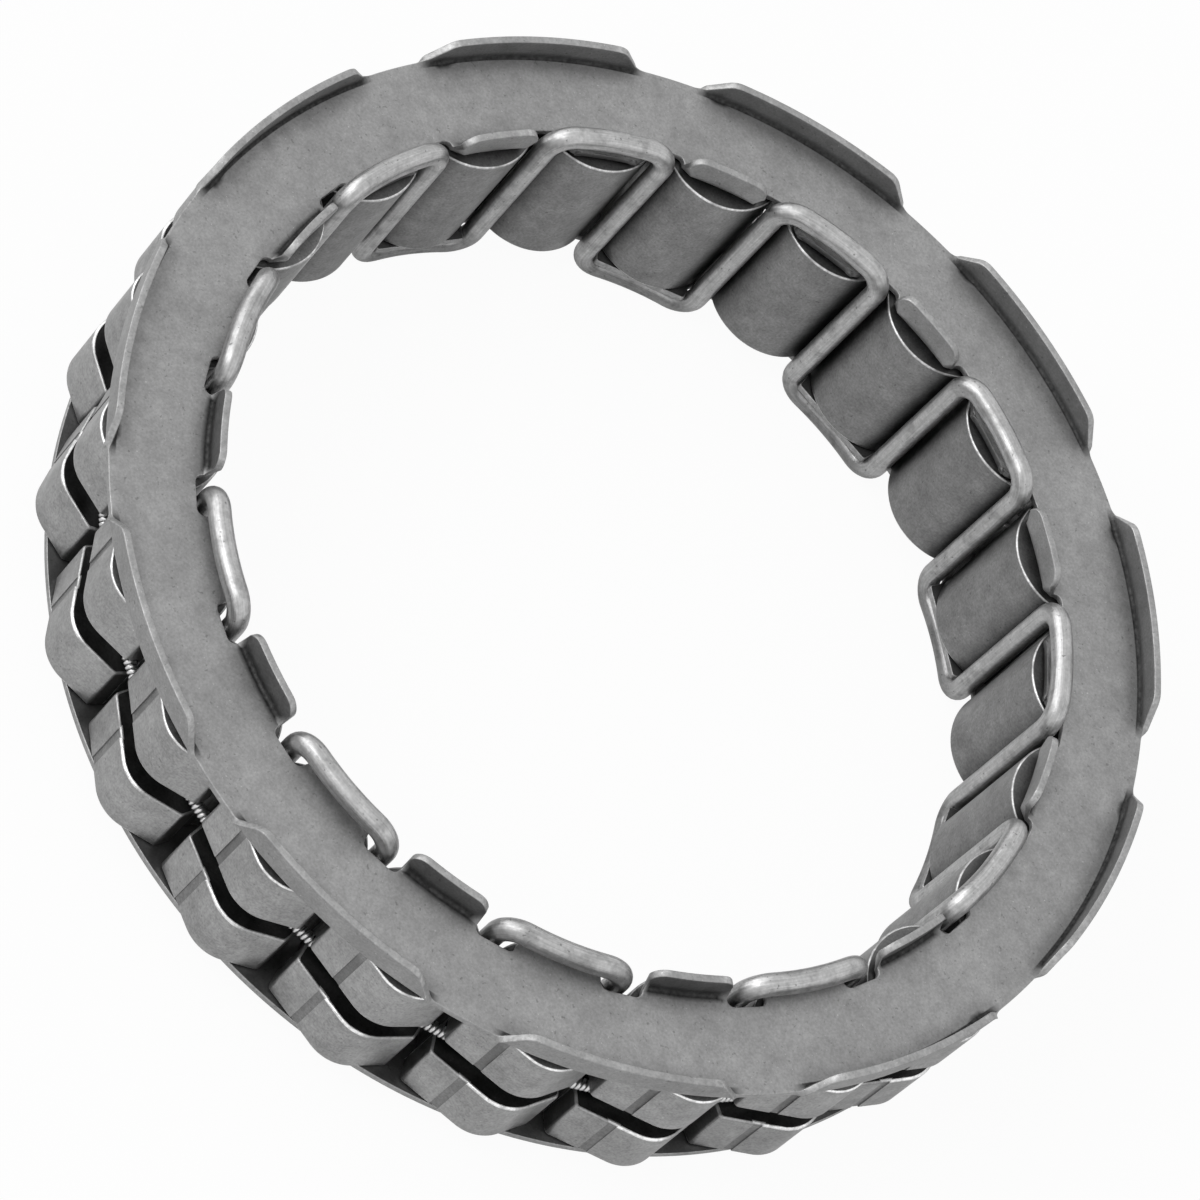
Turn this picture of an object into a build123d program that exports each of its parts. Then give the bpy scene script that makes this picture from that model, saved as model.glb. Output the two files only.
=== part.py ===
from build123d import *
import os
from math import asin, atan, cos, degrees, radians, sin, sqrt, tan

# One-way (freewheel) clutch insert: a ring of sprags held between two sheet-metal side
# plates, which a bent wire clips together.  A garter spring runs through all the sprags.
# The clutch axis is Z, the front faces +Z, and sprag 01 lies on +X.  Lengths are in mm.

# Races that the clutch is fitted between
inner_race_diameter = 57.76
race_space = 8.3325  # from the inner race out to the outer one

# Sprags
sprag_length = 11.45
sprag_gap = 0.55  # least room between neighbours, at their widest places
sprag_end_clearance = 0.15  # from each end of a sprag to its side plate
inner_cam_radius = 4.66
inner_cam_half_angle = 65.0  # how far round its centre the inner cam runs to each side
outer_cam_radius = 3.0
outer_cam_offset = 0.75  # of the outer cam's centre, along the row of sprags
free_rise = 0.155  # of a free sprag above the bore of the outer race
head_width = 8.96
head_depth = 3.1  # from the outer race in to the bottom of the head's sides
head_corner_cut = 0.3
gentle_flank_angle = 21.0
steep_flank_angle = 39.0
waist_width = 7.8
flank_groove_width = 0.62
flank_groove_depth = 0.08
flank_groove_offset = 1.75  # along the flank, from where the crown's arc ends
slot_width = 2.0
slot_relief_angle = 22.0  # of the slot floor, on the side that rises as the sprag tips
slot_lead_angle = 10.0

# Number of flats that the round wire and the round envelope of the spring are drawn with
round_sides = 12

# Garter spring, as the envelope of its coils: it runs straight from sprag to sprag
spring_depth = 2.15  # from the outer race in to the coils' centre line, over a sprag
spring_coil_diameter = 0.9
spring_seat_clearance = 0.12

# Side plates
sheet = 0.5
bend_inner_radius = 0.3  # each bend is drawn as one flat facet
front_rim_clearance = 0.2125  # to the bore of the outer race, between the rim tabs
rear_rim_clearance = 0.8125
rim_tab_grip = 0.05  # how far the rim tabs stand proud of the race's bore
rim_tab_height = 1.9
rim_tab_root_width = 16.4
rim_tab_tip_width = 12.6
inner_tab_height = 1.9
inner_tab_inset = 0.92  # from the inner race to the inner face of the bent tabs
inner_tab_tip_width = 4.66
inner_tab_tip_slope = 55.0
flat_tab_inset = 0.82  # from the inner race to the edge of the flat tabs
notch_width = 2.85  # in the front plate
notch_corner_cut = 0.3
notch_wire_clearance = 0.3  # between the wire and the bottom of its notch
rear_tab_inset = 0.42  # from the inner race to the straight ends of the rear plate's tabs
rear_tab_wire_clearance = 0.15  # between a leg of the wire and the side of a rear tab

# Retaining wire
wire_diameter = 1.5
wire_bend_radius = 1.6  # on the centre line; each bend is drawn in two mitred steps
wire_plate_clearance = 0.3  # between a loop and the flat tab that it holds
wire_sprag_clearance = 0.28
wire_crossing_bow = 0.1  # of the middle of a loop, outwards from the circle of the legs
wire_end_gap = 0.4  # where the two ends meet, on one of the rear loops

# Places that follow from the sizes above
inner_race_radius = inner_race_diameter / 2
outer_race_radius = inner_race_radius + race_space
pivot_radius = inner_race_radius + inner_cam_radius
crown_radius = outer_race_radius + free_rise
crown_centre = sqrt((crown_radius - outer_cam_radius) ** 2 - outer_cam_offset**2)
spring_ring_radius = outer_race_radius - spring_depth
spring_inner_radius = spring_ring_radius - spring_coil_diameter / 2
head_bottom = outer_race_radius - head_depth
cam_end = pivot_radius - inner_cam_radius * cos(radians(inner_cam_half_angle))
cam_half_width = inner_cam_radius * sin(radians(inner_cam_half_angle))
rear_outer_face = wire_plate_clearance + wire_diameter
rear_inner_face = rear_outer_face + sheet
sprag_bottom = rear_inner_face + sprag_end_clearance
front_inner_face = sprag_bottom + sprag_length + sprag_end_clearance
front_outer_face = front_inner_face + sheet
middle_height = (rear_inner_face + front_inner_face) / 2
rim_tab_face = outer_race_radius + rim_tab_grip
inner_tab_face = inner_race_radius + inner_tab_inset
flat_tab_edge = inner_race_radius + flat_tab_inset
rear_tab_end = inner_race_radius + rear_tab_inset


def even_count():
    """Number of sprags that fit round the inner race, rounded down to an even number."""
    cam_angle = atan((cam_half_width + sprag_gap / 2) / cam_end)
    head_angle = atan((head_width + sprag_gap) / 2 / head_bottom)
    return 2 * int(180 / degrees(2 * max(cam_angle, head_angle)))


sprag_count = even_count()
pitch = 360 / sprag_count


def wire_leg_radius():
    """Radius at which a leg of the wire clears the inner cams on both sides of it."""
    reach = inner_cam_radius + wire_sprag_clearance + wire_diameter / 2
    half = radians(pitch / 2)
    return pivot_radius * cos(half) - sqrt(reach**2 - (pivot_radius * sin(half)) ** 2)


def wire_opening_radius():
    """Radius that the openings for the legs of the wire reach out to in both side plates."""
    return wire_leg_radius() + wire_diameter / 2 + notch_wire_clearance


def turned(shape, angle):
    """Return the shape turned about the clutch axis by an angle in degrees."""
    return Rot(0, 0, angle) * shape


def every_second(first):
    """Angles of every second sprag, starting from the sprag with the given index."""
    return [pitch * index for index in range(first, sprag_count, 2)]


def sprag_outline():
    """Outline of the sprag on +X: X is radial, Y runs along the row of sprags."""
    gentle, steep = radians(gentle_flank_angle), radians(steep_flank_angle)
    half = head_width / 2
    crown_top = (crown_centre + outer_cam_radius, outer_cam_offset)
    gentle_top = (
        crown_centre + outer_cam_radius * cos(gentle),
        outer_cam_offset - outer_cam_radius * sin(gentle),
    )
    steep_top = (
        crown_centre + outer_cam_radius * cos(steep),
        outer_cam_offset + outer_cam_radius * sin(steep),
    )
    gentle_shoulder = (gentle_top[0] - (gentle_top[1] + half) * tan(gentle), -half)
    steep_shoulder = (steep_top[0] - (half - steep_top[1]) * tan(steep), half)
    waist = (head_bottom + cam_end) / 2
    edges = [
        Line((head_bottom, -half), gentle_shoulder),
        Line(gentle_shoulder, gentle_top),
        ThreePointArc(gentle_top, crown_top, steep_top),
        Line(steep_top, steep_shoulder),
        Line(steep_shoulder, (head_bottom, half)),
        ThreePointArc((head_bottom, half), (waist, waist_width / 2), (cam_end, cam_half_width)),
        ThreePointArc((cam_end, cam_half_width), (inner_race_radius, 0), (cam_end, -cam_half_width)),
        ThreePointArc((cam_end, -cam_half_width), (waist, -waist_width / 2), (head_bottom, -half)),
    ]
    face = make_face(edges)
    shoulders = [vertex for vertex in face.vertices()
                 if abs(vertex.Y) > half - sheet / 100 and vertex.X > head_bottom + head_corner_cut]
    return chamfer(shoulders, head_corner_cut)


def slot_cutter():
    """Slot across the head for the garter spring.  Its floor falls away to both sides."""
    crest = spring_inner_radius - spring_seat_clearance
    outside = crown_radius + outer_cam_radius
    lead = crest - head_width * tan(radians(slot_lead_angle))
    relief = crest - head_width * tan(radians(slot_relief_angle))
    profile = Polyline(
        (crest, 0),
        (lead, head_width),
        (outside, head_width),
        (outside, -head_width),
        (relief, -head_width),
        close=True,
    )
    return Pos(0, 0, middle_height - slot_width / 2) * extrude(make_face(profile), slot_width)


def flank_groove_cutter():
    """Shallow groove along the gentle flank of the outer cam."""
    place = Pos(crown_centre, outer_cam_offset, middle_height) * Rot(0, 0, -gentle_flank_angle)
    groove = Box(2 * flank_groove_depth, flank_groove_width, 2 * sprag_length)
    return place * Pos(outer_cam_radius, -flank_groove_offset, 0) * groove


def sprag():
    """The sprag on +X, standing free as the garter spring holds it."""
    body = Pos(0, 0, sprag_bottom) * extrude(sprag_outline(), sprag_length)
    return body - slot_cutter() - flank_groove_cutter()


def bent_lip(face_radius, side, height, arc):
    """Lip bent up from the sheet, centred on +X over an arc in degrees.

    The side is +1 for a lip on the rim and -1 for one on the inner edge, and the face is
    the side of the lip that looks away from the sheet.
    """
    bend = sheet + bend_inner_radius
    root = face_radius - side * bend
    back = face_radius - side * sheet
    section = Polyline(
        (root, 0),
        (face_radius, bend),
        (face_radius, sheet + height),
        (back, sheet + height),
        (back, bend),
        (root, sheet),
        close=True,
    )
    return turned(revolve(Plane.XZ * make_face(section), Axis.Z, arc), -arc / 2)


def rim_tab():
    """Tab on the rim of the front plate, a low trapezium bent forward."""
    root, tip = rim_tab_root_width / 2, rim_tab_tip_width / 2
    top = sheet + rim_tab_height
    window = make_face(
        Polyline((-root, -sheet), (-root, sheet), (-tip, top), (tip, top), (root, sheet),
                 (root, -sheet), close=True)
    )
    arc = 2 * degrees(asin(root / rim_tab_face)) + 2
    lip = bent_lip(rim_tab_face, 1, rim_tab_height, arc)
    return lip & extrude(Plane.YZ * window, rim_tab_face + sheet)


def bent_inner_tab():
    """Tab bent away from the sprags at the inner edge, with its tip corners cut off."""
    top = sheet + inner_tab_height
    tip = inner_tab_tip_width / 2
    wide = tip + notch_width
    low = top - (wide - tip) * tan(radians(inner_tab_tip_slope))
    window = make_face(
        Polyline((-wide, low - top), (-wide, low), (-tip, top), (tip, top), (wide, low),
                 (wide, low - top), close=True)
    )
    lip = bent_lip(inner_tab_face, -1, inner_tab_height, pitch)
    return lip & extrude(Plane.YZ * window, inner_tab_face + sheet + pitch)


def notch():
    """Outline of the notch on +X that a leg of the wire passes through."""
    half = notch_width / 2
    mouth = flat_tab_edge - notch_width
    bottom = wire_opening_radius()
    return make_face(
        Polyline(
            (mouth, -half),
            (bottom - notch_corner_cut, -half),
            (bottom, notch_corner_cut - half),
            (bottom, half - notch_corner_cut),
            (bottom - notch_corner_cut, half),
            (mouth, half),
            close=True,
        )
    )


def front_blank():
    """Flat part of the front plate, without the strips that are bent up into tabs."""
    bend = sheet + bend_inner_radius
    inner_edge = inner_tab_face + bend
    half = inner_edge * sin(radians(pitch / 2))
    inner_strip = Pos(inner_edge / 2, 0) * Rectangle(inner_edge, 2 * half) & Circle(inner_edge)
    rim_strip = Rectangle(2 * rim_tab_face, rim_tab_root_width) - Circle(rim_tab_face - bend)
    rim_strip = rim_strip & (Pos(rim_tab_face, 0) * Rectangle(rim_tab_face, rim_tab_root_width))
    blank = Circle(outer_race_radius - front_rim_clearance) - Circle(flat_tab_edge)
    for angle in every_second(0):
        blank -= [turned(inner_strip, angle), turned(rim_strip, angle - pitch / 2)]
    return blank


def front_plate():
    """Front side plate, its inner face at Z = 0 and its bent tabs rising towards +Z."""
    tabs = [turned(bent_inner_tab(), angle) for angle in every_second(0)]
    tabs += [turned(rim_tab(), angle - pitch / 2) for angle in every_second(0)]
    plate = extrude(front_blank(), sheet) + tabs
    cutter = extrude(notch(), 2 * (sheet + inner_tab_height), both=True)
    return plate - [turned(cutter, pitch * (k + 0.5)) for k in range(sprag_count)]


def rear_tab():
    """Outline of the flat tab on +X that a rear loop of the wire passes behind."""
    lean = radians(pitch / 2)
    gap = wire_diameter / 2 + rear_tab_wire_clearance
    root_angle = lean - asin(gap / wire_opening_radius())
    root, root_half = wire_opening_radius() * cos(root_angle), wire_opening_radius() * sin(root_angle)
    tip_half = rear_tab_end * tan(lean) - gap / cos(lean)
    cut = notch_corner_cut
    upper = [
        (rear_tab_end, tip_half - cut),
        (rear_tab_end + cut, tip_half),
        (root, root_half),
        (root + cut, root_half),
    ]
    lower = [(x, -y) for x, y in reversed(upper)]
    return make_face(Polyline(*upper, *lower, close=True))


def rear_plate():
    """Rear side plate, flat all over, its inner face at Z = 0 and its outer face above it."""
    ring = Circle(outer_race_radius - rear_rim_clearance) - Circle(wire_opening_radius())
    blank = ring + [turned(rear_tab(), angle) for angle in every_second(0)]
    return extrude(blank, sheet)


def wire_loop(top):
    """One loop of the wire over the sprag on +X, between the middles of its two legs."""
    half = radians(pitch / 2)
    leg_radius = wire_leg_radius()
    leg = Vector(cos(half), -sin(half), 0) * leg_radius
    along = Vector(sin(half), cos(half), 0)
    rise = Vector(0, 0, 1 if top > middle_height else -1)
    step = wire_bend_radius * tan(radians(45) / 2)
    leg_end = leg + Vector(0, 0, top) - rise * (wire_bend_radius - step)
    crossing_start = leg + Vector(0, 0, top) + along * (wire_bend_radius - step)
    crossing_middle = Vector(leg_radius + wire_crossing_bow, 0, top)
    start = [leg + Vector(0, 0, middle_height), leg_end, crossing_start]
    finish = [Vector(point.X, -point.Y, point.Z) for point in reversed(start)]
    section = Plane(start[0], x_dir=leg, z_dir=rise) * RegularPolygon(wire_diameter / 2, round_sides)
    path = Polyline(*start, crossing_middle, *finish)
    return sweep(section, path=path, transition=Transition.RIGHT)


def retaining_wire():
    """Closed square wave of round wire: its legs stand between the sprags."""
    lift = wire_plate_clearance + wire_diameter / 2
    front_loop = wire_loop(front_outer_face + lift)
    rear_loop = wire_loop(rear_outer_face - lift)
    loops = [turned(rear_loop, angle) for angle in every_second(0)]
    loops += [turned(front_loop, angle) for angle in every_second(1)]
    gap = Box(2 * wire_diameter, wire_end_gap, 2 * wire_diameter)
    return Part() + loops - Pos(wire_leg_radius(), 0, rear_outer_face - lift) * gap


def garter_spring():
    """Envelope of the coil spring, bent over the crest of the slot in every sprag."""
    half = radians(pitch / 2)
    apex = Vector(spring_ring_radius, 0, middle_height)
    mid_radius = spring_ring_radius * cos(half)
    ends = [Vector(mid_radius * cos(half), side * mid_radius * sin(half), middle_height) for side in (-1, 1)]
    start = Plane(ends[0], x_dir=(0, 0, 1), z_dir=apex - ends[0])
    section = start * RegularPolygon(spring_coil_diameter / 2, round_sides)
    length = sweep(section, path=Polyline(ends[0], apex, ends[1]), transition=Transition.RIGHT)
    return Part() + [turned(length, pitch * index) for index in range(sprag_count)]


def main():
    """Build every piece in its place and write one STEP file for each."""
    pieces = {
        "front_plate": Pos(0, 0, front_inner_face) * front_plate(),
        "rear_plate": Pos(0, 0, rear_inner_face) * Rot(180, 0, 0) * rear_plate(),
        "retaining_wire": retaining_wire(),
        "garter_spring": garter_spring(),
    }
    one_sprag = sprag()
    for index in range(sprag_count):
        pieces[f"sprag_{index + 1:02d}"] = turned(one_sprag, pitch * index)
    os.makedirs("parts", exist_ok=True)
    for name, piece in pieces.items():
        export_step(piece, f"parts/{name}.step")


main()
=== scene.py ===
import logging
import math
from dataclasses import dataclass
from enum import Enum
from typing import Any

import bmesh
import bpy
import numpy as np
from mathutils import Matrix, Vector
from mathutils.geometry import delaunay_2d_cdt


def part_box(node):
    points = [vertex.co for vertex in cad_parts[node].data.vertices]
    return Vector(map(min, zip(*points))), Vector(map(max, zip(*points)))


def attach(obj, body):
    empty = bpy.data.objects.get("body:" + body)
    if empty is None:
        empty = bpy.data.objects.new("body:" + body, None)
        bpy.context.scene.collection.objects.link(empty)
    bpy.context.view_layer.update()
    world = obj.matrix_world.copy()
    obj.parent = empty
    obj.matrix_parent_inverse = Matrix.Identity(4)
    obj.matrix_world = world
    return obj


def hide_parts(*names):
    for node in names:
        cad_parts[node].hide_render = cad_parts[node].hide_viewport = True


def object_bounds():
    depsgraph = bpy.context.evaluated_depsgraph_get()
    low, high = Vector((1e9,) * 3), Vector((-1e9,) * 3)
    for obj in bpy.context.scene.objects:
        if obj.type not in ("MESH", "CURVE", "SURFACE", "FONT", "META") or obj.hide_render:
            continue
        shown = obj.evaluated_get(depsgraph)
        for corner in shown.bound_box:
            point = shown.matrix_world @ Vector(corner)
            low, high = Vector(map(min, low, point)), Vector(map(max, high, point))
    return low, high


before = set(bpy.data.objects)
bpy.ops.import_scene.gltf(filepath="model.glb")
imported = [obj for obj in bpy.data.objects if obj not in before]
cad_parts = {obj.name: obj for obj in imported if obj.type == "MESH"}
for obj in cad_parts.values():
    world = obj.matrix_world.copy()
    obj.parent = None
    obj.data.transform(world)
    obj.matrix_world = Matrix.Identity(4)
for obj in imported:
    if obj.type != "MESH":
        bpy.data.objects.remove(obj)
CAD_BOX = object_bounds()

log = logging.getLogger("sprag_clutch")
MM = 0.001
TOUCH = 0.01 * MM
CAGE_BODY = "cage"
WHITE = (1.0, 1.0, 1.0, 1.0)

Point = tuple[float, float]
Corner = tuple[Point, float]
Object, Mesh, Material = bpy.types.Object, bpy.types.Mesh, bpy.types.Material
Tree, Node, Socket = bpy.types.NodeTree, bpy.types.Node, bpy.types.NodeSocket


class PlateSide(Enum):
    """Which side plate it is; the value is the way its outer face looks along Z."""

    FRONT = 1
    REAR = -1


class Course(Enum):
    """What the blots of a noise follow."""

    AXIS = "the clutch axis"
    WIRE = "the length of the bent wire"


# ---------------------------------------------------------------- shared sizes


@dataclass(frozen=True)
class ClutchSizes:
    """Sizes that several pieces share, in metres."""

    sprag_count: int = 22
    inner_race_radius: float = 28.88 * MM
    sheet: float = 0.5 * MM
    rear_outer_face: float = 1.8 * MM
    front_outer_face: float = 14.55 * MM
    sprag_bottom: float = 2.45 * MM
    sprag_top: float = 13.9 * MM
    inner_cam_radius: float = 4.66 * MM
    wire_diameter: float = 1.5 * MM
    wire_sprag_clearance: float = 0.28 * MM

    @property
    def pitch(self) -> float:
        """Angle from one sprag to the next."""
        return 2 * math.pi / self.sprag_count

    @property
    def middle_height(self) -> float:
        """Height of the plane halfway between the side plates."""
        return (self.sprag_bottom + self.sprag_top) / 2

    @property
    def wire_leg_radius(self) -> float:
        """Radius at which a leg of the wire clears the cams on both sides of it.

        Returns:
            The radius about the clutch axis.
        """
        pivot = self.inner_race_radius + self.inner_cam_radius
        reach = self.inner_cam_radius + self.wire_sprag_clearance + self.wire_diameter / 2
        across = pivot * math.sin(self.pitch / 2)
        return pivot * math.cos(self.pitch / 2) - math.sqrt(reach**2 - across**2)


# ---------------------------------------------------------------- mesh helpers


def smooth_step(share: float) -> float:
    """Ease a share from 0 to 1 with level ends, cut off below 0 and above 1."""
    share = min(1.0, max(0.0, share))
    return share * share * (3 - 2 * share)


def polar(radius: float, angle: float) -> Point:
    """Return the point at a radius and an angle about the clutch axis."""
    return radius * math.cos(angle), radius * math.sin(angle)


def arc_about(centre: Point, radius: float, first: float, last: float, count: int) -> list[Point]:
    """Points of an arc about any centre.

    Args:
        centre: Centre of the arc.
        radius: Radius of the arc.
        first: First angle.
        last: Last angle.
        count: Number of runs between the points.

    Returns:
        The points from first to last, both ends among them.
    """
    turns = [first + (last - first) * k / count for k in range(count + 1)]
    return [(centre[0] + radius * math.cos(turn), centre[1] + radius * math.sin(turn))
            for turn in turns]


def arc_points(radius: float, start: float, end: float, step: float) -> list[Point]:
    """Points of an arc about the clutch axis, no more than a step of angle apart."""
    count = max(1, math.ceil(abs(end - start) / step))
    return arc_about((0.0, 0.0), radius, start, end, count)


def sharp(points: list[Point]) -> list[Corner]:
    """Corners that stay as they are when a chain is rounded."""
    return [(point, 0.0) for point in points]


def rounded_chain(corners: list[Corner], steps: int = 5) -> list[Point]:
    """Round the corners of an open chain of straight runs.

    Args:
        corners: Each corner and the radius it is rounded with, 0 for none.
        steps: Number of runs that draw one rounded corner.

    Returns:
        The points of the chain with its rounded corners.
    """
    chain: list[Point] = []
    for index, (place, radius) in enumerate(corners):
        if radius <= 0 or index in (0, len(corners) - 1):
            chain.append(place)
            continue
        corner = Vector(place)
        before, after = ((Vector(corners[index + way][0]) - corner).normalized()
                         for way in (-1, 1))
        half = before.angle(after) / 2
        centre = corner + (before + after).normalized() * (radius / math.sin(half))
        first, last = (corner + way * (radius / math.tan(half)) - centre
                       for way in (before, after))
        sweep = first.angle_signed(last)
        chain += [tuple(centre + Matrix.Rotation(-sweep * step / steps, 2) @ first)
                  for step in range(steps + 1)]
    return chain


def inset_chain(chain: list[Point], depth: float) -> list[Point]:
    """Move an open chain to its left; its two ends move straight along a radius.

    Args:
        chain: The points, with the material to the left of the way they run.
        depth: How far the chain moves.

    Returns:
        The moved points, one for each given point.
    """
    points = np.array(chain)
    runs = points[1:] - points[:-1]
    lefts = np.stack([-runs[:, 1], runs[:, 0]], axis=1)
    lefts /= np.linalg.norm(lefts, axis=1)[:, None]
    before = np.vstack([lefts[:1], lefts])
    middle = before + np.vstack([lefts, lefts[-1:]])
    middle /= np.linalg.norm(middle, axis=1)[:, None]
    for end in (0, -1):
        radial = points[end] / np.linalg.norm(points[end])
        middle[end] = radial * np.sign(radial @ middle[end])
    reach = np.clip(np.sum(middle * before, axis=1), 0.5, 1)
    return [tuple(p) for p in points + middle * (depth / reach)[:, None]]


def inside_outline(points: np.ndarray, outline: np.ndarray, margin: float) -> np.ndarray:
    """Find the points that lie inside a closed outline, away from its edge.

    Args:
        points: Points to test, one per row.
        outline: Corners of the outline, one per row.
        margin: Least distance to the outline.

    Returns:
        True for each point that is inside by at least the margin.
    """
    start, end = outline, np.roll(outline, -1, axis=0)
    run = end - start
    x, y = points[:, :1], points[:, 1:]
    crosses = (start[:, 1] > y) != (end[:, 1] > y)
    rise = np.where(run[:, 1] == 0, 1e-12, run[:, 1])
    at = start[:, 0] + run[:, 0] * (y - start[:, 1]) / rise
    inside = np.sum(crosses & (x < at), axis=1) % 2 == 1
    from_start = points[:, None, :] - start[None]
    share = np.clip(np.sum(from_start * run, axis=2) / np.sum(run * run, axis=1), 0, 1)
    gap = np.linalg.norm(from_start - share[..., None] * run[None], axis=2).min(axis=1)
    return inside & (gap > margin)


def object_from(name: str, mesh: Mesh) -> Object:
    """Put a mesh in the scene as an object that stands at the origin.

    Args:
        name: Name of the object.
        mesh: Its mesh.

    Returns:
        The new object.
    """
    made = bpy.data.objects.new(name, mesh)
    bpy.context.scene.collection.objects.link(made)
    return made


def mesh_from(name: str, places: list, faces: list, edges: list | None = None) -> Mesh:
    """Make a mesh from plain lists.

    Args:
        name: Name of the mesh.
        places: Its points.
        faces: Its faces, as numbers of points.
        edges: Its loose edges, as numbers of points.

    Returns:
        The new mesh.
    """
    mesh = bpy.data.meshes.new(name)
    mesh.from_pydata(places, edges or [], faces)
    mesh.validate()
    return mesh


def path_mesh(name: str, points: list[Vector], closed: bool) -> Mesh:
    """Make a mesh that is one row of edges, open or closed to a ring."""
    edges = [(k, (k + 1) % len(points)) for k in range(len(points))]
    return mesh_from(name, points, [], edges if closed else edges[:-1])


def carry(mesh: Mesh, name: str, domain: str, values: list[float]) -> None:
    """Let a mesh carry a number on each of its faces or points."""
    mesh.attributes.new(name, "FLOAT", domain).data.foreach_set("value", values)


def keep_evaluated(made: Object) -> None:
    """Turn what an object's modifiers give into its own plain mesh.

    Args:
        made: The object.
    """
    bpy.context.view_layer.update()
    graph = bpy.context.evaluated_depsgraph_get()
    mesh = bpy.data.meshes.new_from_object(
        made.evaluated_get(graph), preserve_all_data_layers=True, depsgraph=graph)
    made.modifiers.clear()
    old, made.data = made.data, mesh
    bpy.data.meshes.remove(old)


def even_shading(made: Object) -> None:
    """Shade smooth, with flat faces kept flat beside their rounded edges.

    Args:
        made: The object.
    """
    made.data.shade_smooth()
    weigh = made.modifiers.new("even_shading", "WEIGHTED_NORMAL")
    weigh.mode, weigh.weight = "FACE_AREA", 100
    keep_evaluated(made)


def fit_out(made: Object, body: str, node: str) -> None:
    """Let a piece ride on its body and stand for its solid; report its size.

    Args:
        made: The finished piece.
        body: Body that the piece moves with.
        node: Solid that the piece stands for.
    """
    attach(made, body)
    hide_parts(node)
    low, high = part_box(node)
    places = np.array([v.co for v in made.data.vertices])
    proud = max(max(np.array(low) - places.min(axis=0)), max(places.max(axis=0) - np.array(high)))
    made.data.calc_loop_triangles()
    log.info("%s: %d triangles, stands %.3f mm proud of %s",
             made.name, len(made.data.loop_triangles), proud / MM, node)


# ---------------------------------------------------------------- node helpers


class NodeBuilder:
    """Adds nodes to a tree and links them."""

    def __init__(self, tree: Tree) -> None:
        """Start on a tree."""
        self.tree = tree

    def put(self, node: Node, inputs: dict[Any, Any]) -> None:
        """Give inputs of a node their values, or link sockets to them.

        Args:
            node: The node.
            inputs: Socket names or numbers, each with a value or a socket to link.
        """
        for name, value in inputs.items():
            if isinstance(value, Socket):
                self.tree.links.new(value, node.inputs[name])
            else:
                node.inputs[name].default_value = value

    def add(self, kind: str, inputs: dict[Any, Any] | None = None, **settings: Any) -> Node:
        """Add a node.

        Args:
            kind: Blender's name for the type of node.
            inputs: Socket names or numbers, each with a value or a socket to link.
            **settings: Properties of the node.

        Returns:
            The new node.
        """
        node = self.tree.nodes.new(kind)
        for name, value in settings.items():
            setattr(node, name, value)
        self.put(node, inputs or {})
        return node

    def out(self, kind: str, inputs: dict[Any, Any] | None = None, **settings: Any) -> Socket:
        """Add a node and return its first result."""
        return self.add(kind, inputs, **settings).outputs[0]

    def calc(self, operation: str, first: Any, second: Any = 0.0) -> Socket:
        """Add one step of arithmetic and return its result."""
        return self.out("ShaderNodeMath", {0: first, 1: second}, operation=operation)

    def times(self, first: Any, *others: Any) -> Socket:
        """Multiply values, one after another.

        Args:
            first: A value or a socket.
            *others: What it is multiplied by.

        Returns:
            The product.
        """
        for other in others:
            first = self.calc("MULTIPLY", first, other)
        return first


class GeometryTree(NodeBuilder):
    """A geometry node tree with named inputs, ending in plain geometry."""

    def __init__(self, name: str, sizes: dict[str, str]) -> None:
        """Start a tree with a way in and a way out.

        Args:
            name: Name of the tree.
            sizes: Each named input with the kind of its value.
        """
        super().__init__(bpy.data.node_groups.new(name, "GeometryNodeTree"))
        face = self.tree.interface
        for way in ("INPUT", "OUTPUT"):
            face.new_socket("Geometry", in_out=way, socket_type="NodeSocketGeometry")
        for title, kind in {"Material": "Material", **sizes}.items():
            face.new_socket(title, in_out="INPUT", socket_type=f"NodeSocket{kind}")
        self.inlet = self.tree.nodes.new("NodeGroupInput").outputs
        self.sizes = [self.inlet[title] for title in sizes]

    def circle(self, sides: Any, radius: Any) -> Socket:
        """Draw a circle."""
        return self.out("GeometryNodeCurvePrimitiveCircle", {
            "Resolution": sides, "Radius": radius}, mode="RADIUS")

    def vector(self, operation: str, inputs: dict[Any, Any]) -> Socket:
        """Add one step of vector arithmetic and return its result."""
        return self.out("ShaderNodeVectorMath", inputs, operation=operation)

    def keep(self, geometry: Socket, name: str, value: Socket) -> Socket:
        """Store a number on every point and return the geometry that carries it."""
        return self.out("GeometryNodeStoreNamedAttribute", {
            "Geometry": geometry, "Name": name, "Value": value}, data_type="FLOAT", domain="POINT")

    def close(self, geometry: Socket) -> Tree:
        """End the tree: instances are made real and take the material.

        Args:
            geometry: What the tree has made.

        Returns:
            The finished tree.
        """
        real = self.out("GeometryNodeRealizeInstances", {"Geometry": geometry})
        painted = self.out("GeometryNodeSetMaterial", {
            "Geometry": real, "Material": self.inlet["Material"]})
        self.add("NodeGroupOutput", {0: painted})
        return self.tree


def ring_tree() -> Tree:
    """Make the tree that repeats one sector round the clutch axis and welds the seams.

    Returns:
        The tree.
    """
    build = GeometryTree("ring_of_sectors", {"Count": "Int", "Step": "Float", "Weld": "Float"})
    count, step, weld = build.sizes
    points = build.out("GeometryNodeMeshLine", {"Count": count, "Offset": (0.0, 0.0, 0.0)})
    turn = build.out("ShaderNodeCombineXYZ", {
        "Z": build.times(build.out("GeometryNodeInputIndex"), step)})
    copies = build.out("GeometryNodeInstanceOnPoints", {
        "Points": points, "Instance": build.inlet["Geometry"], "Rotation": turn})
    real = build.out("GeometryNodeRealizeInstances", {"Geometry": copies})
    return build.close(build.out("GeometryNodeMergeByDistance", {
        "Geometry": real, "Distance": weld}))


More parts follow.
